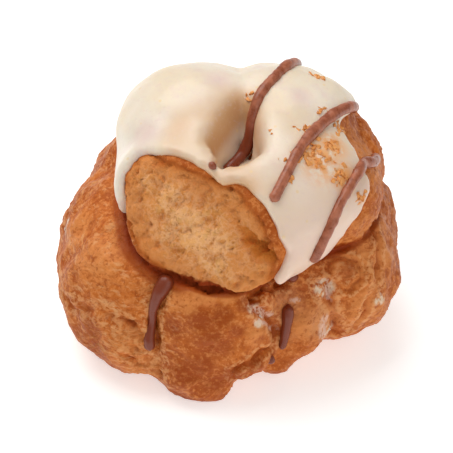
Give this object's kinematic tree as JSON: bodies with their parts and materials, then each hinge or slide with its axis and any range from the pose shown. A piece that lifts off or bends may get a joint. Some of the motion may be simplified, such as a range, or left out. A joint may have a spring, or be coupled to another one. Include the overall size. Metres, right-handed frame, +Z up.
{
  "type": "iced choux bun",
  "caption": "Lobed browned choux bun with a folded crown, a torn oval face, a thin pale icing cap and chocolate strands drizzled over icing and crust.",
  "frame": {"origin": "a point in the middle of the flat foot, on the surface that the bun rests on", "axes": "+Z up, -Y towards the front with the torn oval face, +X to the right as seen from the front"},
  "size_m": [0.0624, 0.0578, 0.0506],
  "materials": {
    "crust": "baked choux crust, dry and matt, with crags and cracks",
    "icing": "set cream-white icing with a soft sheen, chocolate strands on it"
  },
  "bodies": {
    "root": {"choux": "crust", "icing": "icing"}
  },
  "joints": []
}
